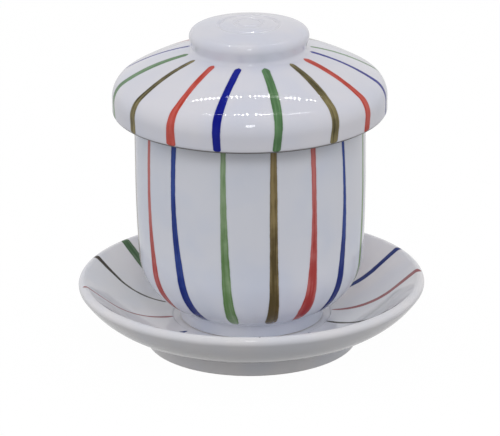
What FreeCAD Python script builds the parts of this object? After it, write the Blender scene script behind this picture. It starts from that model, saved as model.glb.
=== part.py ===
"""Lidded cup for steamed custard, standing in its saucer. Millimetres, +Z up.

Three pieces of white porcelain, each turned about the same upright axis: the saucer,
the cup that stands in the saucer's well, and the lid that rests on the cup's rim.
The origin is on that axis, at the middle of the saucer's foot ring, on the table.
"""
import FreeCAD, Part
import os
import re
import Sketcher

os.makedirs("parts", exist_ok=True)
doc = FreeCAD.newDocument("custard_cup")

# Driving sizes, in millimetres and degrees. Heights are taken from the foot of their own piece.
SIZES = {
    # The saucer: a bowl-shaped dish on a foot ring, with a thick rounded lip.
    "saucer_radius": 60.5,
    "saucer_height": 23,
    "lip_radius": 1.8,
    "flare_angle": 38,
    "flare_length": 10.6,
    "under_angle": 57,
    "bowl_curve": 33,
    "under_curve": 32,
    "saucer_floor": 9.7,
    "saucer_base": 4.6,
    "saucer_foot_radius": 36.9,
    "saucer_foot_height": 6.3,
    "saucer_foot_width": 3.4,
    "well_play": 2,
    "well_depth": 0.4,
    "well_shelf": 2.1,
    # The cup: nearly straight walls above a tight curve, on an unpainted foot ring.
    "cup_radius": 40,
    "cup_height": 84.4,
    "rim_wall": 3.3,
    "cup_wall": 3.7,
    "waist_inset": 0.9,
    "belly_height": 23.3,
    "belly_curve": 20.5,
    "side_curve": 510,
    "straight_height": 55.7,
    "cup_floor": 8.8,
    "cup_base": 4.8,
    "cup_foot_radius": 25.5,
    "cup_foot_height": 5.1,
    "cup_foot_width": 3.2,
    # The lid: a dome that hangs over the rim, an inner ring that keeps it central, and its knob.
    "lid_overhang": 7.5,
    "lid_wall": 4.2,
    "skirt_straight": 5.6,
    "shoulder_curve": 8,
    "shoulder_angle": 31,
    "crown_curve": 82,
    "inside_curve": 90,
    "crown_height": 22.2,
    "seat_height": 9.6,
    "seat_ledge": 1,
    "seat_curve": 7,
    "lid_play": 0.6,
    "flange_wall": 2.7,
    "flange_depth": 4.6,
    "neck_radius": 19.4,
    "knob_radius": 21.2,
    "knob_height": 6.6,
    "knob_rise": 3,
    "knob_wall": 4.9,
    "knob_ring_radius": 10,
    "knob_eye_radius": 4.5,
    "ring_tool": 1.6,
    "ring_depth": 0.25,
    # Slight leans that let a piece leave its mould, and the roundings of the edges.
    "foot_lean": 0.6,
    "flange_lean": 0.3,
    "hollow_lean": 1,
    "foot_edge": 0.6,
    "foot_root": 1.2,
    "recess_root": 2,
    "well_edge": 0.3,
    "rim_edge": 1.3,
    "hollow_root": 4,
    "skirt_edge": 1.4,
    "flange_edge": 0.9,
    "flange_root": 1.5,
    "knob_edge": 1.7,
    "knob_root": 1.4,
}

# Sizes that follow from the driving ones.
WORKED_OUT = {
    # Middle of the lip's round section, and where the bowl and the underside meet it.
    "lip_middle": "saucer_radius - lip_radius",
    "lip_level": "saucer_height - lip_radius",
    "lip_inside": "lip_middle - lip_radius * sin(flare_angle)",
    "lip_top": "lip_level + lip_radius * cos(flare_angle)",
    "lip_outside": "lip_middle + lip_radius * sin(under_angle)",
    "lip_under": "lip_level - lip_radius * cos(under_angle)",
    # The bowl curves up from a flat shelf round the well to the foot of the straight flare.
    "flare_start": "lip_inside - flare_length * cos(flare_angle)",
    "flare_level": "lip_top - flare_length * sin(flare_angle)",
    "well_radius": "cup_foot_radius + well_play",
    "shelf_radius": "well_radius + well_depth + well_shelf",
    "saucer_recess": "saucer_floor - saucer_base",
    "well_floor": "saucer_floor - well_depth",
    "saucer_foot_inner": "saucer_foot_radius - saucer_foot_width",
    # The cup's inside: a quarter turn from the wall to the floor.
    "waist_radius": "cup_radius - waist_inset",
    "mouth_radius": "cup_radius - rim_wall",
    "belly_inside": "waist_radius - cup_wall",
    "inner_curve": "belly_height - cup_floor",
    "cup_recess": "cup_floor - cup_base",
    "cup_foot_inner": "cup_foot_radius - cup_foot_width",
    # The lid's shoulder, and the ring that drops into the cup's mouth with a little play.
    "lid_radius": "cup_radius + lid_overhang",
    "shoulder_middle": "lid_radius - shoulder_curve",
    "shoulder_radius": "shoulder_middle + shoulder_curve * sin(shoulder_angle)",
    "shoulder_top": "skirt_straight + shoulder_curve * cos(shoulder_angle)",
    "flange_radius": "mouth_radius - lid_play",
    "flange_inner": "flange_radius - flange_wall",
    "flange_bottom": "seat_height - flange_depth",
    "seat_radius": "cup_radius + seat_ledge",
    "skirt_inner": "lid_radius - lid_wall",
    "seat_root": "seat_height - seat_curve + seat_ledge",
    # The knob is hollow from below, so that its wall is as even as the dome's.
    "knob_level": "crown_height + knob_height",
    "knob_top": "knob_level + knob_rise",
    "knob_curve": "(knob_radius ^ 2 + knob_rise ^ 2) / (2 * knob_rise)",
    "hollow_radius": "neck_radius - knob_wall",
    "hollow_top": "knob_top - knob_wall",
    "inside_height": "crown_height - lid_wall",
    # Where each piece stands: the cup on the well's floor, the lid's seat on the cup's rim.
    "cup_place": "well_floor",
    "lid_place": "well_floor + cup_height - seat_height",
}

sheet = doc.addObject("Spreadsheet::Sheet", "size")
for row, (name, value) in enumerate({**SIZES, **WORKED_OUT}.items(), start=1):
    sheet.set(f"A{row}", name)
    sheet.set(f"B{row}", f"={value}" if name in WORKED_OUT else str(value))
    sheet.setAlias(f"B{row}", name)
doc.recompute()

ROUND = 1
HOLLOW = -1
START = 1
END = 2
OTHER_END = {START: END, END: START}


def bound(text):
    """The expression with each size's name pointed at its cell in the sheet."""
    known = {**SIZES, **WORKED_OUT}
    return re.sub(r"[a-z_]+", lambda word: f"size.{word[0]}" if word[0] in known else word[0], text)


def amount(text):
    """The number that an expression of sizes comes to."""
    return float(sheet.evalExpression(bound(text)))


def middle_of_arc(start, end, radius, side):
    """Halfway point of the arc: the chord's middle, moved out by the arc's height."""
    chord = end - start
    height = radius - (radius ** 2 - chord.Length ** 2 / 4) ** 0.5
    across = FreeCAD.Vector(chord.y, -chord.x, 0).normalize()
    return (start + end) / 2 + across * height * side


def hold(sketch, geometry, end, across, up):
    """Hold one end of a line at its two sizes, on an axis of the sketch where a size is nothing."""
    for text, kind, axis in ((across, "DistanceX", -2), (up, "DistanceY", -1)):
        if text == "0":
            sketch.addConstraint(Sketcher.Constraint("PointOnObject", geometry, end, axis))
        else:
            rule = Sketcher.Constraint(kind, -1, 1, geometry, end, amount(text))
            sketch.setExpression(f"Constraints[{sketch.addConstraint(rule)}]", bound(text))


def half_section(body, outline):
    """A closed sketch on the body's own XZ plane, anticlockwise round the clay.

    Each corner is (radius, height, bend): bend is nothing for a straight line to the next
    corner, or (ROUND or HOLLOW, radius) for an arc that stands out of the clay or cuts in.
    """
    sketch = body.newObject("Sketcher::SketchObject", f"{body.Name}_section")
    planes = {plane.Role: plane for plane in body.Origin.OriginFeatures}
    sketch.AttachmentSupport = [(planes["XZ_Plane"], "")]
    sketch.MapMode = "FlatFace"
    corners = [FreeCAD.Vector(amount(across), amount(up), 0) for across, up, bend in outline]
    starts = []
    for number, (across, up, bend) in enumerate(outline):
        start = corners[number]
        end = corners[(number + 1) % len(corners)]
        if bend:
            side, radius = bend
            halfway = middle_of_arc(start, end, amount(radius), side)
            edge = sketch.addGeometry(Part.Arc(start, halfway, end), False)
            rule = Sketcher.Constraint("Radius", edge, amount(radius))
            sketch.setExpression(f"Constraints[{sketch.addConstraint(rule)}]", bound(radius))
        else:
            edge = sketch.addGeometry(Part.LineSegment(start, end), False)
        starts.append(START if sketch.getPoint(edge, START).isEqual(start, 1e-4) else END)
    for number, (across, up, bend) in enumerate(outline):
        before = (number - 1) % len(outline)
        before_end = OTHER_END[starts[before]]
        rule = Sketcher.Constraint("Coincident", before, before_end, number, starts[number])
        sketch.addConstraint(rule)
        hold(sketch, number, starts[number], across, up)
    return sketch


def turned(label, outline):
    """A body turned about its upright axis from its half-section."""
    body = doc.addObject("PartDesign::Body", label)
    body.Label = label
    sketch = half_section(body, outline)
    turn = body.newObject("PartDesign::Revolution", f"{label}_turned")
    turn.Profile = sketch
    turn.ReferenceAxis = (sketch, ["V_Axis"])
    turn.Angle = 360
    doc.recompute()
    return body


def round_edges(body, name, radius, corners):
    """Round the circular edges that run through the given (radius, height) corners."""
    places = [(amount(across), amount(up)) for across, up in corners]
    sharp = body.Tip
    found = []
    for number, edge in enumerate(sharp.Shape.Edges, start=1):
        if edge.Degenerated or not isinstance(edge.Curve, Part.Circle):
            continue
        circle = edge.Curve
        if any(abs(circle.Radius - across) + abs(circle.Center.z - up) < 0.01 for across, up in places):
            found.append(f"Edge{number}")
    if len(found) != len(places):
        raise ValueError(f"{body.Label} {name}: {len(found)} edges found for {len(places)} corners")
    fillet = body.newObject("PartDesign::Fillet", f"{body.Label}_{name}")
    fillet.Base = (sharp, found)
    fillet.setExpression("Radius", bound(radius))
    doc.recompute()


# Saucer. The underside and the bowl are separate curves, so the wall thins towards the lip.
saucer = turned("saucer", [
    ("0", "saucer_recess", None),
    ("saucer_foot_inner - foot_lean", "saucer_recess", None),
    ("saucer_foot_inner", "0", None),
    ("saucer_foot_radius", "0", None),
    ("saucer_foot_radius + foot_lean", "saucer_foot_height", (ROUND, "under_curve")),
    ("lip_outside", "lip_under", (ROUND, "lip_radius")),
    ("saucer_radius", "lip_level", (ROUND, "lip_radius")),
    ("lip_inside", "lip_top", None),
    ("flare_start", "flare_level", (HOLLOW, "bowl_curve")),
    ("shelf_radius", "saucer_floor", None),
    ("well_radius + well_depth", "saucer_floor", None),
    ("well_radius", "well_floor", None),
    ("0", "well_floor", None),
])
round_edges(saucer, "recess_root", "recess_root",
            [("saucer_foot_inner - foot_lean", "saucer_recess")])
round_edges(saucer, "foot_root", "foot_root",
            [("saucer_foot_radius + foot_lean", "saucer_foot_height")])
round_edges(saucer, "foot_edge", "foot_edge",
            [("saucer_foot_inner", "0"), ("saucer_foot_radius", "0")])
round_edges(saucer, "well_edge", "well_edge", [("well_radius + well_depth", "saucer_floor")])

# Cup. Its foot ring stands on the well's floor, and its flat rim carries the lid.
cup = turned("cup", [
    ("0", "cup_recess", None),
    ("cup_foot_inner - foot_lean", "cup_recess", None),
    ("cup_foot_inner", "0", None),
    ("cup_foot_radius - foot_lean / 2", "0", None),
    ("cup_foot_radius", "cup_foot_height", (ROUND, "belly_curve")),
    ("waist_radius", "belly_height", (ROUND, "side_curve")),
    ("cup_radius", "straight_height", None),
    ("cup_radius", "cup_height", None),
    ("mouth_radius", "cup_height", None),
    ("belly_inside", "belly_height", (HOLLOW, "inner_curve")),
    ("belly_inside - inner_curve", "cup_floor", None),
    ("0", "cup_floor", None),
])
round_edges(cup, "recess_root", "recess_root", [("cup_foot_inner - foot_lean", "cup_recess")])
round_edges(cup, "foot_root", "foot_root", [("cup_foot_radius", "cup_foot_height")])
round_edges(cup, "foot_edge", "foot_edge",
            [("cup_foot_inner", "0"), ("cup_foot_radius - foot_lean / 2", "0")])
round_edges(cup, "rim_edge", "rim_edge",
            [("cup_radius", "cup_height"), ("mouth_radius", "cup_height")])
cup.setExpression("Placement.Base.z", bound("cup_place"))

# Lid. The knob's hollow opens into the dome, and the inner ring drops into the cup's mouth.
lid = turned("lid", [
    ("0", "hollow_top", None),
    ("hollow_radius - hollow_lean", "hollow_top", None),
    ("hollow_radius", "inside_height", (HOLLOW, "inside_curve")),
    ("flange_inner", "shoulder_top", None),
    ("flange_inner + flange_lean", "flange_bottom", None),
    ("flange_radius - flange_lean", "flange_bottom", None),
    ("flange_radius", "seat_height", None),
    ("seat_radius", "seat_height", (HOLLOW, "seat_curve")),
    ("skirt_inner", "seat_root", None),
    ("skirt_inner", "0", None),
    ("lid_radius", "0", None),
    ("lid_radius", "skirt_straight", (ROUND, "shoulder_curve")),
    ("shoulder_radius", "shoulder_top", (ROUND, "crown_curve")),
    ("neck_radius", "crown_height", None),
    ("knob_radius", "knob_level", (ROUND, "knob_curve")),
    ("0", "knob_top", None),
])
round_edges(lid, "hollow_root", "hollow_root", [("hollow_radius - hollow_lean", "hollow_top")])
round_edges(lid, "hollow_edge", "flange_root", [("hollow_radius", "inside_height")])
round_edges(lid, "flange_root", "flange_root", [("flange_inner", "shoulder_top")])
round_edges(lid, "flange_edge", "flange_edge",
            [("flange_inner + flange_lean", "flange_bottom"),
             ("flange_radius - flange_lean", "flange_bottom")])
round_edges(lid, "skirt_edge", "skirt_edge", [("skirt_inner", "0"), ("lid_radius", "0")])
round_edges(lid, "knob_root", "knob_root", [("neck_radius", "crown_height")])
round_edges(lid, "knob_edge", "knob_edge", [("knob_radius", "knob_level")])
lid.setExpression("Placement.Base.z", bound("lid_place"))

# Two shallow turned rings in the crown of the knob, cut by a round-nosed tool.
rings = lid.newObject("Sketcher::SketchObject", "knob_rings")
lid_planes = {plane.Role: plane for plane in lid.Origin.OriginFeatures}
rings.AttachmentSupport = [(lid_planes["XZ_Plane"], "")]
rings.MapMode = "FlatFace"
for ring_radius in ("knob_ring_radius", "knob_eye_radius"):
    # The tool's middle stands above the crown, which falls away as the square of the radius.
    above = f"knob_top - {ring_radius} ^ 2 / (2 * knob_curve) + ring_tool - ring_depth"
    centre = FreeCAD.Vector(amount(ring_radius), amount(above), 0)
    circle = Part.Circle(centre, FreeCAD.Vector(0, 0, 1), amount("ring_tool"))
    nose = rings.addGeometry(circle, False)
    size_rule = rings.addConstraint(Sketcher.Constraint("Radius", nose, amount("ring_tool")))
    rings.setExpression(f"Constraints[{size_rule}]", bound("ring_tool"))
    hold(rings, nose, 3, ring_radius, above)
uncut = lid.Tip.Shape.Volume
groove = lid.newObject("PartDesign::Groove", "knob_rings_cut")
groove.Profile = rings
groove.ReferenceAxis = (rings, ["V_Axis"])
groove.Angle = 360
doc.recompute()
if lid.Tip.Shape.Volume >= uncut:
    raise ValueError("the knob's rings cut nothing")

for item in doc.Objects:
    if "Invalid" in item.State or "Error" in item.State:
        raise ValueError(f"{item.Label}: {item.State}")
for body in (saucer, cup, lid):
    if body.Shape.isNull() or not body.Shape.isValid() or len(body.Shape.Solids) != 1:
        raise ValueError(f"{body.Label}: no single valid solid")
    body.Shape.exportStep(os.path.join("parts", f"{body.Label}.step"))
    box = body.Shape.optimalBoundingBox(False, False)
    print(f"{body.Label}: radius {box.XMax:.2f}, from {box.ZMin:.2f} to {box.ZMax:.2f},"
          f" volume {body.Shape.Volume / 1000:.1f} cm3")
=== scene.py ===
"""A lidded porcelain custard cup on its saucer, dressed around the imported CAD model.

Outlines are in millimetres from the table, as (radius, height) about the upright axis;
the meshes are in metres. Angles run from the front, anticlockwise seen from above.
"""

import bpy
import numpy as np
from mathutils import Matrix, Vector


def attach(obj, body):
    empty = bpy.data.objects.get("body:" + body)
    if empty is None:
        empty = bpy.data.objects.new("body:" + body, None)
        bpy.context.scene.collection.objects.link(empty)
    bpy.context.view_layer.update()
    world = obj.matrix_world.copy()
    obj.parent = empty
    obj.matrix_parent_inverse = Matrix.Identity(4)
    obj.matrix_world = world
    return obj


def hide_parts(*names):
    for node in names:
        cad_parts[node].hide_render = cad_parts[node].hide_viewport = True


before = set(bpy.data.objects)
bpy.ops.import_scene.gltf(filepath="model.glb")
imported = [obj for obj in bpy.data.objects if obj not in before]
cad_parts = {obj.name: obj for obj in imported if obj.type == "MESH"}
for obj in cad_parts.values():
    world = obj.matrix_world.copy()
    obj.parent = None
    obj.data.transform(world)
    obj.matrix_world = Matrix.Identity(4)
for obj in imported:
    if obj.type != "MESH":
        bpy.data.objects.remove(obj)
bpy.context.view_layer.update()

# Saucer
# A deep little dish of white porcelain, jiggered in a mould, dipped in clear glaze and
# stood on a bare foot ring. A flat well in its middle holds the cup's foot.

MM = 0.001
# A piece's grid, its strokes, and how many paints come in turn.
COLUMNS = 400
ROWS = 240
STROKES = 16
PAINT_CYCLE = 4
# Millimetres between the points of an outline and that a radian of bend is worth, and the
# points of a rounded corner.
PATH_STEP = 0.1
BEND_WEIGHT = 2.6
CORNER_POINTS = 24


def run(start, end, bend):
    """Points from one corner to the next: a straight line where bend is 0, or an arc of
    that radius, positive where it stands out of the clay, which lies left of the path."""
    start = np.array(start, float)
    chord = np.array(end, float) - start
    length = np.hypot(*chord)
    forward = chord / length
    outward = np.array([forward[1], -forward[0]])
    place = np.linspace(-1, 1, max(3, int(length / PATH_STEP)))[:, None]
    if bend == 0:
        return start + chord * (place + 1) / 2
    half = np.arcsin(length / 2 / abs(bend))
    sideways = abs(bend) * np.sin(place * half)
    rise = bend * (np.cos(place * half) - np.cos(half))
    return start + chord / 2 + forward * sideways + outward * rise


def travel(path):
    """Distance along the path of each of its points."""
    return np.r_[0, np.cumsum(np.hypot(*np.diff(path, axis=0).T))]


def trimmed(points, cut):
    """The run of points without its first bit, which is as long as the cut."""
    travelled = travel(points)
    first = [np.interp(cut, travelled, points[:, axis]) for axis in (0, 1)]
    return np.vstack([first, points[travelled > cut + PATH_STEP / 10]])


def outline(corners):
    """One smooth path through (radius, height, bend to the next, rounding) corners.

    A rounded corner loses rounding * tan(turn / 2) of each run, and a cubic curve with
    handles of rounding * 4/3 * tan(turn / 4) joins what is left, which is nearly an arc.
    """
    runs = [run(a[:2], b[:2], a[2]) for a, b in zip(corners[:-1], corners[1:])]
    curves = []
    for before in range(len(runs) - 1):
        rounding = corners[before + 1][3]
        if rounding == 0:
            continue
        arriving = runs[before][-1] - runs[before][-2]
        leaving = runs[before + 1][1] - runs[before + 1][0]
        turn = np.arccos(arriving @ leaving / np.hypot(*arriving) / np.hypot(*leaving))
        cut = rounding * np.tan(turn / 2)
        runs[before] = trimmed(runs[before][::-1], cut)[::-1]
        runs[before + 1] = trimmed(runs[before + 1], cut)
        arriving = runs[before][-1] - runs[before][-2]
        leaving = runs[before + 1][1] - runs[before + 1][0]
        arriving /= np.hypot(*arriving)
        leaving /= np.hypot(*leaving)
        handle = rounding * 4 / 3 * np.tan(np.arccos(arriving @ leaving) / 4)
        a, d = runs[before][-1], runs[before + 1][0]
        b, c = a + arriving * handle, d - leaving * handle
        t = np.linspace(0, 1, CORNER_POINTS)[1:-1, None]
        bow = a * (1 - t) ** 3 + 3 * b * t * (1 - t) ** 2 + 3 * c * t ** 2 * (1 - t) + d * t ** 3
        curves.append((before, bow))
    for before, bow in curves:
        runs[before] = np.vstack([runs[before], bow])
    path = np.vstack(runs)
    return path[np.r_[True, np.hypot(*np.diff(path, axis=0).T) > 1e-6]]


def spread(path):
    """The path again in ROWS points, closer together where it bends: each step has the
    same share of its length plus BEND_WEIGHT millimetres for every radian it turns."""
    steps = np.diff(path, axis=0)
    heading = np.unwrap(np.arctan2(steps[:, 1], steps[:, 0]))
    turning = np.abs(np.diff(heading, prepend=heading[0]))
    share = np.r_[0, np.cumsum(np.hypot(*steps.T) + BEND_WEIGHT * turning)]
    even = np.linspace(0, share[-1], ROWS)
    return np.c_[np.interp(even, share, path[:, 0]), np.interp(even, share, path[:, 1])]


def reach(path, radius, height):
    """Distance along the path of the point that comes nearest to a radius and height."""
    gap = np.hypot(path[:, 0] - radius, path[:, 1] - height)
    return travel(path)[gap.argmin()]


def through(first, middle, last, share):
    """A parabola through three values: at the start, halfway and at the end."""
    return (first * (1 - share) * (1 - 2 * share) + 4 * middle * share * (1 - share)
            + last * share * (2 * share - 1))


# The hand's sway along a stroke, in degrees, and the share by which its width swells.
SWAY = 0.15
SWELL = 0.06


def brushwork(path, angles, strokes):
    """Where each grid point lies among the brush strokes.

    A stroke is three angles, three half-widths, its first and last place on the path and
    the length of its last taper; angle and half-width go through their three values, with
    a sine of the place along the stroke on top, at another phase for each stroke. The
    stroke number is a count that rises by one from each stroke's middle to the next, so
    that it is whole on the middles. Returned with it are the millimetres that one count is
    worth there and the half-width of the nearest stroke, below 0 past its ends.
    """
    table = np.array(strokes, float)
    place = travel(path)[:, None]
    begin, finish, taper = table[:, 6:].T
    done = (place - begin) / (finish - begin)
    inside = np.clip(done, 0, 1)
    middles = through(*table[:, :3].T, inside)
    middles = middles + SWAY * np.sin(inside * 5 + np.arange(STROKES) * 2.4)
    middles = np.hstack([middles[:, -1:] - 360, middles, middles[:, :1] + 360])
    gaps = np.diff(middles, axis=1)
    turned_by = angles[None, :, None] - middles[:, None, :-1]
    number = np.clip(turned_by / gaps[:, None, :], 0, 1).sum(axis=2) - 1
    number += np.clip((angles[None, :] - middles[:, -1:]) / gaps[:, :1], 0, None)
    gap = np.clip(np.floor(number).astype(int) + 1, 0, STROKES)
    rows = np.arange(len(path))[:, None]
    count_width = path[:, :1] * np.radians(gaps[rows, gap])
    nearest = np.rint(number).astype(int) % STROKES
    width = through(*table[:, 3:6].T, inside)
    width *= 1 + SWELL * np.sin(inside * 9 + np.arange(STROKES) * 1.7)
    left = np.minimum(done, 1 - done) * np.abs(finish - begin)
    tip = np.where(done < 0.5, width, taper)
    width = np.where(left > tip, width, width * np.sqrt(np.clip(left / tip, 0, 1)))
    width = np.where(left < 0, np.maximum(left, -1), width)
    return number, count_width, width[rows, nearest]


def placed(name, data):
    """A new object in the scene that holds a mesh, a lamp or a camera."""
    made = bpy.data.objects.new(name, data)
    bpy.context.collection.objects.link(made)
    return made


# Degrees from the seam to the first stroke, the waves' share of the radius and the most
# that they add up to, and the millimetres over which the glaze thins out to bare clay.
SEAM_GAP = 10
WAVE_SHARE = 0.00022
WAVE_PEAK = 3.1
BARE_FADE = 0.25


def turned(name, path, strokes, bare_and_shade_height):
    """A closed surface swept round the axis: x = r sin a, y = -r cos a, z = h, with r drawn
    in by slow waves of a few hundredths of a millimetre, as a hand-finished piece has."""
    angles = strokes[0][0] - SEAM_GAP + np.linspace(0, 360, COLUMNS + 1)
    number, count_width, half_width = brushwork(path, angles, strokes)
    around = np.radians(angles[:-1])[None]
    along = travel(path)[:, None]
    waves = np.sin(2 * around + along / 19) + np.sin(3 * around - along / 13 + 1)
    waves += 0.6 * np.sin(5 * around + along / 7 + 2) + 0.5 * np.sin(along / 2.3)
    radius = path[:, :1] * MM * (1 - WAVE_SHARE * (WAVE_PEAK + waves))
    height = np.broadcast_to(path[:, 1:] * MM, radius.shape)
    grid = np.stack([radius * np.sin(around), -radius * np.cos(around), height], axis=2)
    inner = grid[1:-1].reshape(-1, 3)
    ends = np.array([[0, 0, path[0, 1] * MM], [0, 0, path[-1, 1] * MM]])
    points = np.vstack([ends[:1], inner, ends[1:]])

    column = np.arange(COLUMNS)
    beside = (column + 1) % COLUMNS
    level = 1 + np.arange(ROWS - 3)[:, None] * COLUMNS
    quads = np.stack([level + column, level + beside,
                      level + beside + COLUMNS, level + column + COLUMNS], axis=2)
    last_ring = 1 + (ROWS - 3) * COLUMNS
    last_point = np.full(COLUMNS, len(points) - 1)
    under = np.stack([np.zeros(COLUMNS, int), 1 + beside, 1 + column], axis=1)
    over = np.stack([last_point, last_ring + column, last_ring + beside], axis=1)
    corners = np.concatenate([quads.ravel(), under.ravel(), over.ravel()])
    sizes = np.concatenate([np.full(quads.size // 4, 4), np.full(2 * COLUMNS, 3)])
    mesh = bpy.data.meshes.new(name)
    mesh.vertices.add(len(points))
    mesh.vertices.foreach_set("co", points.ravel())
    mesh.loops.add(len(corners))
    mesh.loops.foreach_set("vertex_index", corners)
    mesh.polygons.add(len(sizes))
    mesh.polygons.foreach_set("loop_start", np.r_[0, np.cumsum(sizes)[:-1]])
    mesh.polygons.foreach_set("use_smooth", np.ones(len(sizes), bool))
    mesh.update(calc_edges=True)

    # The map's first number is the stroke number over all strokes, the second the way along.
    across = number / STROKES
    upward = np.broadcast_to(along / along[-1], across.shape)
    chart = np.stack([across, upward], axis=2)
    row = np.arange(1, ROWS - 2)[:, None]
    quad_chart = np.stack([chart[row, column], chart[row, column + 1],
                           chart[row + 1, column + 1], chart[row + 1, column]], axis=2)
    under_chart = np.stack([chart[0, column], chart[1, column + 1], chart[1, column]], axis=1)
    over_chart = np.stack([chart[-1, column], chart[-2, column], chart[-2, column + 1]], axis=1)
    flat = np.concatenate([quad_chart.ravel(), under_chart.ravel(), over_chart.ravel()])
    mesh.uv_layers.new(name="strokes").data.foreach_set("uv", flat)
    # Unglazed below this height: clay on a foot ring, on the lid a band that is painted shade.
    bare_and_shade = 1 - np.clip((path[:, 1:] - bare_and_shade_height) / BARE_FADE, 0, 1)
    bare_and_shade = np.broadcast_to(bare_and_shade, count_width.shape)
    fields = {"count_width": count_width, "half_width": half_width, "bare_and_shade": bare_and_shade}
    for label, field in fields.items():
        field = field[:, :-1]
        values = np.concatenate([field[0, :1], field[1:-1].ravel(), field[-1, :1]])
        mesh.attributes.new(label, "FLOAT", "POINT").data.foreach_set("value", values)
    mesh.validate()
    return placed(name, mesh)


def node(tree, kind, inputs, **settings):
    """A shader node with its settings, each input a number, a colour or another's output."""
    made = tree.nodes.new(kind)
    for name, value in settings.items():
        setattr(made, name, value)
    for name, value in inputs.items():
        if isinstance(value, bpy.types.NodeSocket):
            tree.links.new(value, made.inputs[name])
        else:
            made.inputs[name].default_value = value
    return made


def reckon(tree, operation, *values):
    """The output of one Math node."""
    inputs = dict(enumerate(values))
    return node(tree, "ShaderNodeMath", inputs, operation=operation).outputs[0]


def fade(tree, value, low, high, to_low=0.0, to_high=1.0):
    """A value carried smoothly from one range to another."""
    inputs = {"Value": value, "From Min": low, "From Max": high,
              "To Min": to_low, "To Max": to_high}
    made = node(tree, "ShaderNodeMapRange", inputs, interpolation_type="SMOOTHSTEP")
    return made.outputs["Result"]


def blend(tree, amount, first, second):
    """One colour over another, by an amount from 0 to 1."""
    inputs = {0: amount, 6: first, 7: second}
    return node(tree, "ShaderNodeMix", inputs, data_type="RGBA").outputs[2]


def mottle(tree, place, grain, detail):
    """A cloudy field from 0 to 1, with about so many clouds to each unit of the place."""
    inputs = {"Vector": place, "Scale": grain, "Detail": detail}
    return node(tree, "ShaderNodeTexNoise", inputs).outputs["Fac"]


def colour(red, green, blue):
    """A screen colour, 0 to 255, as the light values that a shader takes."""
    screen = np.array([red, green, blue]) / 255
    light = np.where(screen > 0.04045, ((screen + 0.055) / 1.055) ** 2.4, screen / 12.92)
    return (*light.tolist(), 1)


# A stroke's edge in millimetres: how ragged and how soft it is, how far its paint bleeds
# into the glaze, how wide it pools inside, and where bleed and pool are at their full.
RAGGED = 0.3
SOFT = 0.12
BLEED = 0.9
POOL = 0.6
FULL = 0.1
BLEED_STRENGTH = 0.1
POOL_STRENGTH = 0.55
# Streaks to a millimetre across the stroke, along the whole path, and the step to the
# next stroke's; then the shares of streaks and clouds in the load of paint.
STREAKS_ACROSS = 1.1
STREAKS_ALONG = 9
STREAK_STEP = 5.3
STREAK_SHARE = 0.55
CLOUD_SHARE = 0.45
# Loads at which the paint is wholly drawn out and wholly pooled, and the heights in metres
# between which it drains.
THIN_LOAD = 0.34
THICK_LOAD = 0.66
DRAIN_BOTTOM = 0.02
DRAIN_TOP = 0.085
# Grains to the metre.
EDGE_GRAIN = 330
CLOUD_GRAIN = 130
GLAZE_GRAIN = 45
SPECK_GRAIN = 95
CLAY_GRAIN = 1500
PEEL_GRAIN = 160
# How many steps of 255 darker the glaze is where it lies thick, and the clouds that count as
# thin and as thick, for its colour and for its gloss.
THICK_GLAZE = (9, 6, 1)
TINT_CLOUDS = (0.35, 0.7)
GLOSS_CLOUDS = (0.3, 0.7)
# The specks' colour, strength, rarity, and outer and inner edge as shares of a grain.
SPECK_COLOUR = (96, 84, 74)
SPECK_STRENGTH = 0.45
SPECK_RARITY = 0.93
SPECK_EDGE = (0.032, 0.014)
# The glaze's roughness and shine, what paint adds to them, and the bare clay's roughness.
GLAZE_ROUGHNESS = (0.02, 0.04)
GLAZE_SHINE = 0.5
PAINT_ROUGHNESS = 0.06
PAINT_SHINE = -0.34
CLAY_ROUGHNESS = 0.78
GLAZE_IOR = 1.5
# The relief in metres, and the shares of it that paint, glaze and bare clay have.
RELIEF = 0.00005
PAINT_RELIEF = 0.3
PEEL_RELIEF = 0.02
CLAY_RELIEF = 0.8


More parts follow.
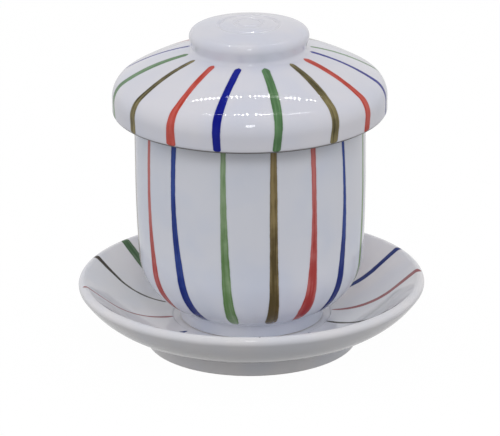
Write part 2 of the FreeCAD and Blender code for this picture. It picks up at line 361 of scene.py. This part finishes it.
def painted_glaze(name, white, thick, thin, clay_and_shade, drain):
    """White glaze with brushed enamel strokes: colour, gloss and relief from one set of fields.

    The distance to a stroke's edge is |stroke number - nearest| * millimetres per count
    - half-width. Thick and thin are the four paints as they pool and as they are drawn out.
    Clay_and_shade is the pair of colours mottled over the unglazed parts: on a foot ring the
    fired body's own colour, and on the lid's edge dark greys that are painted shade. Drain is
    how much less paint lies on the upper part of the piece than on its lower part.
    """
    material = bpy.data.materials.new(name)
    material.use_nodes = True
    tree = material.node_tree
    shader = tree.nodes["Principled BSDF"]
    place = node(tree, "ShaderNodeTexCoord", {}).outputs["Object"]
    chart = node(tree, "ShaderNodeUVMap", {}, uv_map="strokes").outputs["UV"]
    parts = node(tree, "ShaderNodeSeparateXYZ", {"Vector": chart})
    number = reckon(tree, "MULTIPLY", parts.outputs["X"], STROKES)
    nearest = reckon(tree, "FLOOR", reckon(tree, "ADD", number, 0.5))
    count_width, half_width, bare_and_shade = [
        node(tree, "ShaderNodeAttribute", {}, attribute_name=label).outputs["Fac"]
        for label in ("count_width", "half_width", "bare_and_shade")]
    across = reckon(tree, "MULTIPLY", reckon(tree, "SUBTRACT", number, nearest), count_width)
    edge = reckon(tree, "SUBTRACT", reckon(tree, "ABSOLUTE", across), half_width)
    ragged = reckon(tree, "SUBTRACT", mottle(tree, place, EDGE_GRAIN, 2), 0.5)
    edge = reckon(tree, "MULTIPLY_ADD", ragged, RAGGED, edge)
    paint = fade(tree, edge, SOFT, -SOFT)
    bleed = fade(tree, edge, BLEED, -FULL, 0, BLEED_STRENGTH)

    # Streaks run along the stroke; clouds are where the brush carried more or less paint.
    brush = node(tree, "ShaderNodeCombineXYZ", {
        "X": reckon(tree, "MULTIPLY", across, STREAKS_ACROSS),
        "Y": reckon(tree, "MULTIPLY", parts.outputs["Y"], STREAKS_ALONG),
        "Z": reckon(tree, "MULTIPLY", nearest, STREAK_STEP)}).outputs["Vector"]
    streaks = reckon(tree, "MULTIPLY", mottle(tree, brush, 1, 2), STREAK_SHARE)
    clouds = reckon(tree, "MULTIPLY", mottle(tree, place, CLOUD_GRAIN, 3), CLOUD_SHARE)
    height = node(tree, "ShaderNodeSeparateXYZ", {"Vector": place}).outputs["Z"]
    drained = fade(tree, height, DRAIN_BOTTOM, DRAIN_TOP, drain, -drain)
    load = reckon(tree, "ADD", reckon(tree, "ADD", streaks, clouds), drained)
    load = fade(tree, load, THIN_LOAD, THICK_LOAD)
    pooled = fade(tree, edge, -POOL, -FULL, 0, POOL_STRENGTH)
    load = reckon(tree, "MAXIMUM", load, pooled)
    cycle = reckon(tree, "FLOORED_MODULO", nearest, PAINT_CYCLE)
    cycle = reckon(tree, "DIVIDE", reckon(tree, "ADD", cycle, 0.5), PAINT_CYCLE)
    paints = []
    for colours in (thin, thick):
        ramp = node(tree, "ShaderNodeValToRGB", {"Fac": cycle})
        ramp.color_ramp.interpolation = "CONSTANT"
        for step, paint_colour in enumerate(colours):
            if step < 2:
                stop = ramp.color_ramp.elements[step]
                stop.position = step / PAINT_CYCLE
            else:
                stop = ramp.color_ramp.elements.new(step / PAINT_CYCLE)
            stop.color = colour(*paint_colour)
        paints.append(ramp.outputs["Color"])
    paint_now = blend(tree, load, *paints)

    # The glaze is a trace bluer where it lies thick, with an iron speck here and there.
    depth = mottle(tree, place, GLAZE_GRAIN, 2)
    deeper = colour(*(np.array(white) - THICK_GLAZE))
    glaze = blend(tree, fade(tree, depth, *TINT_CLOUDS), colour(*white), deeper)
    cells = node(tree, "ShaderNodeTexVoronoi", {"Vector": place, "Scale": SPECK_GRAIN})
    chosen = node(tree, "ShaderNodeSeparateColor", {"Color": cells.outputs["Color"]})
    chosen = reckon(tree, "GREATER_THAN", chosen.outputs["Red"], SPECK_RARITY)
    speck = fade(tree, cells.outputs["Distance"], *SPECK_EDGE)
    speck = reckon(tree, "MULTIPLY", speck, chosen)
    speck = reckon(tree, "MULTIPLY", speck, SPECK_STRENGTH)
    surface = blend(tree, speck, glaze, colour(*SPECK_COLOUR))
    surface = blend(tree, bleed, surface, paint_now)
    surface = blend(tree, paint, surface, paint_now)
    # Unglazed parts: clay on the feet, and on the lid's edge dark greys that are painted shade.
    grit = mottle(tree, place, CLAY_GRAIN, 4)
    biscuit_and_shade = blend(tree, grit, colour(*clay_and_shade[0]), colour(*clay_and_shade[1]))
    surface = blend(tree, bare_and_shade, surface, biscuit_and_shade)
    tree.links.new(surface, shader.inputs["Base Color"])

    gloss = fade(tree, depth, *GLOSS_CLOUDS, *GLAZE_ROUGHNESS)
    gloss = reckon(tree, "ADD", gloss, reckon(tree, "MULTIPLY", paint, PAINT_ROUGHNESS))
    gloss = reckon(tree, "MAXIMUM", gloss, reckon(tree, "MULTIPLY", bare_and_shade, CLAY_ROUGHNESS))
    tree.links.new(gloss, shader.inputs["Roughness"])
    peel = reckon(tree, "MULTIPLY", mottle(tree, place, PEEL_GRAIN, 1), PEEL_RELIEF)
    relief = reckon(tree, "ADD", reckon(tree, "MULTIPLY", paint, PAINT_RELIEF), peel)
    tooth = reckon(tree, "MULTIPLY", reckon(tree, "MULTIPLY", grit, bare_and_shade), CLAY_RELIEF)
    relief = reckon(tree, "ADD", relief, tooth)
    bump = node(tree, "ShaderNodeBump", {"Height": relief, "Strength": 1, "Distance": RELIEF})
    tree.links.new(bump.outputs["Normal"], shader.inputs["Normal"])
    shader.inputs["IOR"].default_value = GLAZE_IOR
    shine = reckon(tree, "MULTIPLY_ADD", paint, PAINT_SHINE, GLAZE_SHINE)
    tree.links.new(shine, shader.inputs["Specular IOR Level"])
    return material


SAUCER_RADIUS = 60.5
SAUCER_HEIGHT = 23
LIP_RADIUS = 1.8
LIP_LEVEL = 21.2
LIP_TOP = 58.7
LEDGE_LEVEL = 9.7
WELL_LEVEL = 9.3
WELL_EDGE = 28.4
BARE_FOOT = 0.12
SAUCER_TAPER = 2.5
BISCUIT = [(214, 206, 192), (190, 180, 166)]
# From the middle of the recess round the foot ring, up the underside, over the lip and down
# the bowl to the ledge and the well.
saucer_path = spread(outline([
    (0, 5.1, 0, 0),
    (32.9, 5.1, 0, 2),
    (33.5, 0, 0, 0.6),
    (36.9, 0, 0, 0.6),
    (37.5, 6.3, 32, 1.2),
    (60.21, 20.22, LIP_RADIUS, 0),
    (SAUCER_RADIUS, LIP_LEVEL, LIP_RADIUS, 0),
    (57.59, 22.62, 0, 0),
    (49.24, 16.09, -33, 0),
    (30, LEDGE_LEVEL, 0, 0),
    (27.9, LEDGE_LEVEL, 0, 0.3),
    (27.5, WELL_LEVEL, 0, 0),
    (0, WELL_LEVEL, 0, 0),
]))
well_edge = reach(saucer_path, WELL_EDGE, LEDGE_LEVEL)
lip_top = reach(saucer_path, LIP_TOP, SAUCER_HEIGHT)
# Angles and half-widths at the lip, halfway and at the well, how far inside the lip's top the
# stroke starts, and how far short of the well it stops.
saucer_strokes = [
    (-81, -80.5, -81.5, 0.7, 0.4, 0.8, -0.9, -1),
    (-56, -53.5, -51, 1.4, 0.9, 1, 0.5, 0.2),
    (-38, -34, -31, 1.6, 1.3, 0.9, 1, 3),
    (2.5, 2.5, 2.5, 0.5, 0.55, 0.5, -0.3, 0.4),
    (19, 18.5, 18, 1.3, 0.9, 0.6, 1.5, 7),
    (43, 43, 43, 1.3, 1, 1.3, 0.5, 0),
    (56, 56, 56, 1.6, 1.2, 1, 8, 7),
    (66.5, 67.5, 68.9, 0.9, 0.8, 0.55, 8.5, -1),
    (93.9, 93, 92.1, 1.35, 1.2, 0.6, -1.45, -0.5),
    (116.3, 118.8, 121.5, 1.25, 1.1, 0.8, -1.6, 0.4),
    (139, 141, 142.8, 2.1, 1.4, 1, -1.2, 0.8),
    (163, 163, 163.6, 0.9, 0.7, 0.5, -1.2, 0.2),
    (184, 184, 184.4, 1.2, 0.8, 0.5, -1.2, 0.9),
    (207, 206.5, 206, 1.5, 1, 0.7, -1.2, 0.3),
    (230.5, 232, 233, 1.85, 1.6, 1.2, -1.4, 0.6),
    (249.3, 251.6, 251.6, 1.2, 0.5, 0.4, -1.4, -1),
]
saucer_strokes = [(*stroke, lip_top + start, well_edge - short, SAUCER_TAPER)
                  for *stroke, start, short in saucer_strokes]
saucer = turned("saucer_glazed", saucer_path, saucer_strokes, BARE_FOOT)
# The saucer's white is the glaze's own, raised a little above the cup's and lid's as painted
# light on its bowl.
# The glaze, then red, blue, green and olive brown as they pool and as they are drawn out.
saucer.data.materials.append(painted_glaze(
    "saucer_glaze_finish", (237, 235, 236),
    [(150, 78, 82), (30, 44, 112), (74, 104, 72), (40, 36, 32)],
    [(168, 108, 112), (58, 74, 134), (112, 134, 108), (88, 80, 68)],
    BISCUIT, 0))
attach(saucer, "root")
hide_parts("saucer")

# Cup
# A tall, nearly straight cup of the same white porcelain, slip-cast, its strokes drawn
# downwards from the rim with one loaded brush. It stands loose in the saucer's well.

CUP_RADIUS = 40
CUP_RIM = 93.7
CUP_FOOT = 9.3
BELLY_BOTTOM = (25.5, 14.4)
BELLY_TOP = (39.1, 32.6)
BELLY_BEND = 20.5
PAINT_START = 91.5
CUP_DRAIN = 0.12
# From the middle of the recess round the foot ring, up the outside, over the rim and down
# the inside.
cup_path = spread(outline([
    (0, 13.3, 0, 0),
    (21.7, 13.3, 0, 2),
    (22.3, CUP_FOOT, 0, 0.6),
    (25.2, CUP_FOOT, 0, 0.6),
    (*BELLY_BOTTOM, BELLY_BEND, 1.2),
    (*BELLY_TOP, 510, 0),
    (CUP_RADIUS, 65, 0, 0),
    (CUP_RADIUS, CUP_RIM, 0, 1.3),
    (36.7, CUP_RIM, 0, 1.3),
    (35.4, 32.6, -14.5, 0),
    (20.9, 18.1, 0, 0),
    (0, 18.1, 0, 0),
]))
belly = run(BELLY_BOTTOM, BELLY_TOP, BELLY_BEND)


def down_belly(height):
    """Distance along the cup's path of the point of its belly curve at a height."""
    return reach(cup_path, np.interp(height, belly[:, 1], belly[:, 0]), height)


# Angles and half-widths at the rim, halfway and low down, the height at which the stroke
# ends and the length of its point.
cup_strokes = [
    (-57.8, -60.2, -53, 0.8, 1.1, 2.5, 16.4, 8),
    (-39, -40.5, -32, 1.15, 1.2, 2.2, 15.3, 6),
    (-12.6, -13.4, -10.9, 1, 1.2, 2.4, 15.4, 7),
    (11.3, 11.2, 12.3, 1.05, 1.4, 2.1, 15.4, 4),
    (31.4, 32.8, 29.8, 1.1, 1.15, 3, 15.6, 10),
    (50.4, 53.2, 48, 0.75, 1, 2.5, 16, 8),
    (74.5, 75.5, 72, 1, 1.2, 2, 16, 4),
    (97, 98, 96, 1, 1.2, 2.2, 16.2, 4),
    (120, 121, 120, 0.9, 1, 2, 15.8, 8),
    (142, 143, 142, 1, 1, 2.2, 16.3, 6),
    (165, 166, 164, 1, 1.3, 2.3, 15.8, 6),
    (187, 188, 187, 1, 1.3, 2.1, 15.9, 4),
    (210, 211, 210, 0.9, 1, 2.4, 16.4, 8),
    (232, 233, 233, 1, 1, 2.1, 15.7, 6),
    (255, 256, 257, 1, 1.3, 2.3, 15.9, 6),
    (277, 278, 281, 1, 1.2, 2.1, 16.1, 4),
]
below_rim = reach(cup_path, CUP_RADIUS, PAINT_START)
cup_strokes = [(*stroke, below_rim, down_belly(low), point)
               for *stroke, low, point in cup_strokes]
cup = turned("cup_glazed", cup_path, cup_strokes, CUP_FOOT + BARE_FOOT)
cup.data.materials.append(painted_glaze(
    "cup_glaze_finish", (229, 231, 239),
    [(180, 68, 64), (20, 40, 122), (102, 136, 84), (92, 78, 46)],
    [(208, 122, 118), (54, 80, 158), (154, 178, 140), (150, 132, 90)],
    BISCUIT, CUP_DRAIN))
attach(cup, "root")
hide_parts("cup")

# Lid
# A domed porcelain lid that rests on the cup's rim, with a ring inside that keeps it
# central. Its knob was thrown as part of it and turned with two fine rings on top.

LID_RADIUS = 47.5
LID_EDGE = 84.1
# Height of the lid's bare edge band, darkened as painted shade.
SHADED_EDGE_BAND = 0.6
LID_TAPER = 0.9
KNOB_EDGE = 112.9
KNOB_TOP = 115.9
KNOB_CURVE = 77.8
RING_RADII = (10, 4.5)
RING_DEPTH = 0.45
RING_WIDTH = 2.4
PAINT_TOP = (20.9, 105.9)
PAINT_END = (47.1, 84.5)
# Dark greys of the lid's bare edge: painted shade, the dark line under the lid.
EDGE_SHADE_GREYS = [(116, 112, 107), (98, 95, 91)]
# From the knob's hollow out along the inside, round the inner ring and over the seat to the
# edge, then up the crown and over the knob.
lid_path = outline([
    (0, 111, 0, 0),
    (13.5, 111, 0, 4),
    (14.5, 102.1, -90, 1.5),
    (33.4, 96.56, 0, 1.5),
    (33.7, 89.1, 0, 0.9),
    (35.8, 89.1, 0, 0.9),
    (36.1, CUP_RIM, 0, 0),
    (41, CUP_RIM, -7, 0),
    (43.3, 87.7, 0, 0),
    (43.3, LID_EDGE, 0, 1.4),
    (LID_RADIUS, LID_EDGE, 0, 1.4),
    (LID_RADIUS, 89.7, 8, 0),
    (43.62, 96.56, 82, 0),
    (19.4, 106.3, 0, 1.4),
    (21.4, KNOB_EDGE, KNOB_CURVE, 2.8),
    (0, KNOB_TOP, 0, 0),
])
# The rings are grooves of a round-nosed tool: depth less distance squared over its width.
on_top = lid_path[:, 1] > KNOB_EDGE
for ring in RING_RADII:
    depth = np.clip(RING_DEPTH - (lid_path[:, 0] - ring) ** 2 / RING_WIDTH, 0, None)
    lid_path[:, 1] -= depth * on_top
lid_path = spread(lid_path)
neck = reach(lid_path, *PAINT_TOP)
lid_edge = reach(lid_path, *PAINT_END)
# Angles and half-widths at the knob, halfway and at the edge, and how far from the knob
# the stroke starts.
lid_strokes = [
    (-35, -34.9, -33.9, 1.05, 1.2, 1.85, 0.3),
    (-9.9, -13.5, -13.6, 1.15, 1.4, 1.4, 0),
    (14.1, 12.8, 10.6, 1.5, 1.5, 1.45, 0.5),
    (40.9, 39.5, 36.2, 0.95, 1.5, 1.5, 0.2),
    (61, 59.3, 56.2, 1.3, 1.35, 1.65, 0.4),
    (83, 81.8, 78.4, 0.85, 0.95, 1.5, 0),
    (98.5, 101, 97, 0.75, 1, 1.2, 0.3),
    (130, 130.5, 130, 0.7, 1.2, 1.4, 0.1),
    (147, 147.8, 148, 1, 1.3, 1.6, 0.5),
    (170, 170.5, 171.5, 1.1, 1.3, 1.5, 0),
    (193, 192.5, 193.5, 1.3, 1.4, 1.6, 0.4),
    (213, 212, 213, 0.8, 1.2, 1.4, 0.2),
    (229, 230, 231, 1.1, 1.3, 1.6, 0.3),
    (256.5, 254.4, 256, 0.8, 0.95, 1.2, 0),
    (281, 277.6, 282.5, 1.2, 1.7, 1.8, 0.4),
    (300, 301.4, 303.6, 0.8, 1.25, 1.45, 0.6),
]
lid_strokes = [(*stroke, neck - late, lid_edge, LID_TAPER) for *stroke, late in lid_strokes]
lid = turned("lid_glazed", lid_path, lid_strokes, LID_EDGE + SHADED_EDGE_BAND)
# The bare edge is painted dark grey: painted shade for the dark line under the lid's edge.
lid.data.materials.append(painted_glaze(
    "lid_glaze_finish", (226, 225, 231),
    [(184, 58, 42), (6, 16, 128), (80, 118, 76), (74, 68, 42)],
    [(208, 98, 88), (12, 30, 150), (112, 150, 106), (152, 140, 98)],
    EDGE_SHADE_GREYS, 0))
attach(lid, "root")
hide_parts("lid")

# Table and surroundings
# A plain white table that takes the soft shadow, in an even white room. Seen directly,
# both are made pure white by their colour alone, and no more light falls on the cup.

FLOOR_REACH = 6
FLOOR_GREY = (0.24, 0.24, 0.24, 1)
FLOOR_GLOW = 1.09
WHITE = (1, 1, 1, 1)
LOW_AIR = (0.84, 0.84, 0.85, 1)
HIGH_AIR = (0.42, 0.42, 0.435, 1)
# How much of the table's white the camera sees, and how much of it the glaze mirrors.
SEEN_SHARE = 0.9
MIRRORED_SHARE = 0.65


def emptied(owner):
    """The node tree of a material or a world, with nothing in it yet."""
    owner.use_nodes = True
    owner.node_tree.nodes.clear()
    return owner.node_tree


mesh = bpy.data.meshes.new("table_top")
floor_corners = [(-FLOOR_REACH, -FLOOR_REACH, 0), (FLOOR_REACH, -FLOOR_REACH, 0),
                 (FLOOR_REACH, FLOOR_REACH, 0), (-FLOOR_REACH, FLOOR_REACH, 0)]
mesh.from_pydata(floor_corners, [], [(0, 1, 2, 3)])
table = placed("table_top", mesh)
finish = bpy.data.materials.new("table_white")
tree = emptied(finish)
lit = node(tree, "ShaderNodeBsdfDiffuse", {"Color": FLOOR_GREY}).outputs[0]
glow = node(tree, "ShaderNodeEmission", {"Color": WHITE, "Strength": FLOOR_GLOW}).outputs[0]
ray = node(tree, "ShaderNodeLightPath", {})
seen = reckon(tree, "MULTIPLY", ray.outputs["Is Camera Ray"], SEEN_SHARE)
mirrored = reckon(tree, "MULTIPLY", ray.outputs["Is Glossy Ray"], MIRRORED_SHARE)
share = reckon(tree, "MAXIMUM", seen, mirrored)
both = node(tree, "ShaderNodeMixShader", {0: share, 1: lit, 2: glow}).outputs[0]
node(tree, "ShaderNodeOutputMaterial", {"Surface": both})
table.data.materials.append(finish)

world = bpy.data.worlds.new("white_room")
bpy.context.scene.world = world
tree = emptied(world)
direction = node(tree, "ShaderNodeTexCoord", {}).outputs["Generated"]
upward = node(tree, "ShaderNodeSeparateXYZ", {"Vector": direction}).outputs["Z"]
room = blend(tree, fade(tree, upward, 0, 1), LOW_AIR, HIGH_AIR)
seen = node(tree, "ShaderNodeLightPath", {}).outputs["Is Camera Ray"]
air = blend(tree, seen, room, WHITE)
light = node(tree, "ShaderNodeBackground", {"Color": air, "Strength": 1})
node(tree, "ShaderNodeOutputWorld", {"Surface": light.outputs[0]})

# Lamps
# A small photo tent: a soft panel in its roof, cards at both sides and in front, a window
# that shows as one patch, and two strips of bare diodes that only show as rows of glints.

TENT_ROOF = 0.6
# Rows of diodes: how far back the row's middle is, its bow, and its left and right end.
STRIPS = ((0.168, 1.05, -0.215, 0.245), (0.045, 0.4, -0.195, 0.25))
DIODE_WIDTH = 0.0045
DIODE_DEPTH = 0.012
DIODE_STEP = 0.0155
DIODE_GLOW = 60
# Where each lamp hangs, what it faces, its width and depth, its power and its tint.
CUP_MIDDLE = (0, 0, 0.06)
PANELS = {
    "tent_roof": ((0, 0.1, 0.62), (0, 0.1, 0), 0.5, 0.36, 0.42, (1, 0.99, 0.97)),
    "left_card": ((-0.9, -0.1, 0.42), CUP_MIDDLE, 0.6, 0.4, 1.2, (1, 1, 1)),
    "right_card": ((0.9, -0.1, 0.42), CUP_MIDDLE, 0.6, 0.4, 1.0, (1, 1, 1)),
    "front_card": ((0, -0.95, 0.78), CUP_MIDDLE, 0.9, 0.3, 1.75, (0.97, 0.98, 1)),
    "front_window": ((0, -0.75, 0.76), (0, 0, 0.08), 0.11, 0.2, 0.65, (0.95, 0.97, 1)),
}
# Only the window shows in the glaze.
MIRRORED_PANELS = ("front_window",)

for name, (place, aim, width, depth, power, tint) in PANELS.items():
    light = bpy.data.lights.new(name, "AREA")
    light.shape = "RECTANGLE"
    light.size = width
    light.size_y = depth
    light.energy = power
    light.color = tint
    panel = placed(name, light)
    panel.location = place
    panel.rotation_euler = (Vector(aim) - Vector(place)).to_track_quat("-Z", "Y").to_euler()
    panel.visible_camera = False
    panel.visible_glossy = name in MIRRORED_PANELS

# Two diodes in every thirteen are out, spread along the strip.
diodes = []
for back, bow, left_end, right_end in STRIPS:
    across = np.arange(left_end, right_end, DIODE_STEP)
    across = across[(np.arange(len(across)) * 5) % 13 > 1]
    diodes += [(x, back + bow * x ** 2) for x in across]
square = np.array([(-0.5, -0.5), (-0.5, 0.5), (0.5, 0.5), (0.5, -0.5)])
spots = (np.array(diodes)[:, None, :] + square * (DIODE_WIDTH, DIODE_DEPTH)).reshape(-1, 2)
spots = np.c_[spots, np.full(len(spots), TENT_ROOF)]
mesh = bpy.data.meshes.new("diode_strips")
mesh.from_pydata(spots.tolist(), [], np.arange(len(spots)).reshape(-1, 4).tolist())
strips = placed("diode_strips", mesh)
strips.visible_camera = False
strips.visible_diffuse = False
strips.visible_shadow = False
glints = bpy.data.materials.new("diode_light")
tree = emptied(glints)
light = node(tree, "ShaderNodeEmission", {"Color": WHITE, "Strength": DIODE_GLOW}).outputs[0]
node(tree, "ShaderNodeOutputMaterial", {"Surface": light})
strips.data.materials.append(glints)

# Camera
# It stands 1.4 m away and looks down 20 degrees, turned a little on its own axis, as the
# hand-held camera of the photograph was.

CAMERA_PLACE = (-0.0003, -1.3527, 0.535)
LOOK_DOWN = 19.93
ROLL = -0.55
FILM_WIDTH = 36
LENS = 297.6
VIEW_REACH = 50
camera_data = bpy.data.cameras.new("camera")
camera_data.sensor_width = FILM_WIDTH
camera_data.lens = LENS
camera_data.clip_end = VIEW_REACH
camera = placed("camera", camera_data)
tilt = Matrix.Rotation(np.radians(90 - LOOK_DOWN), 4, "X")
roll = Matrix.Rotation(np.radians(ROLL), 4, "Z")
camera.matrix_world = Matrix.Translation(CAMERA_PLACE) @ tilt @ roll
bpy.context.scene.camera = camera
bpy.context.scene.view_settings.view_transform = "Standard"
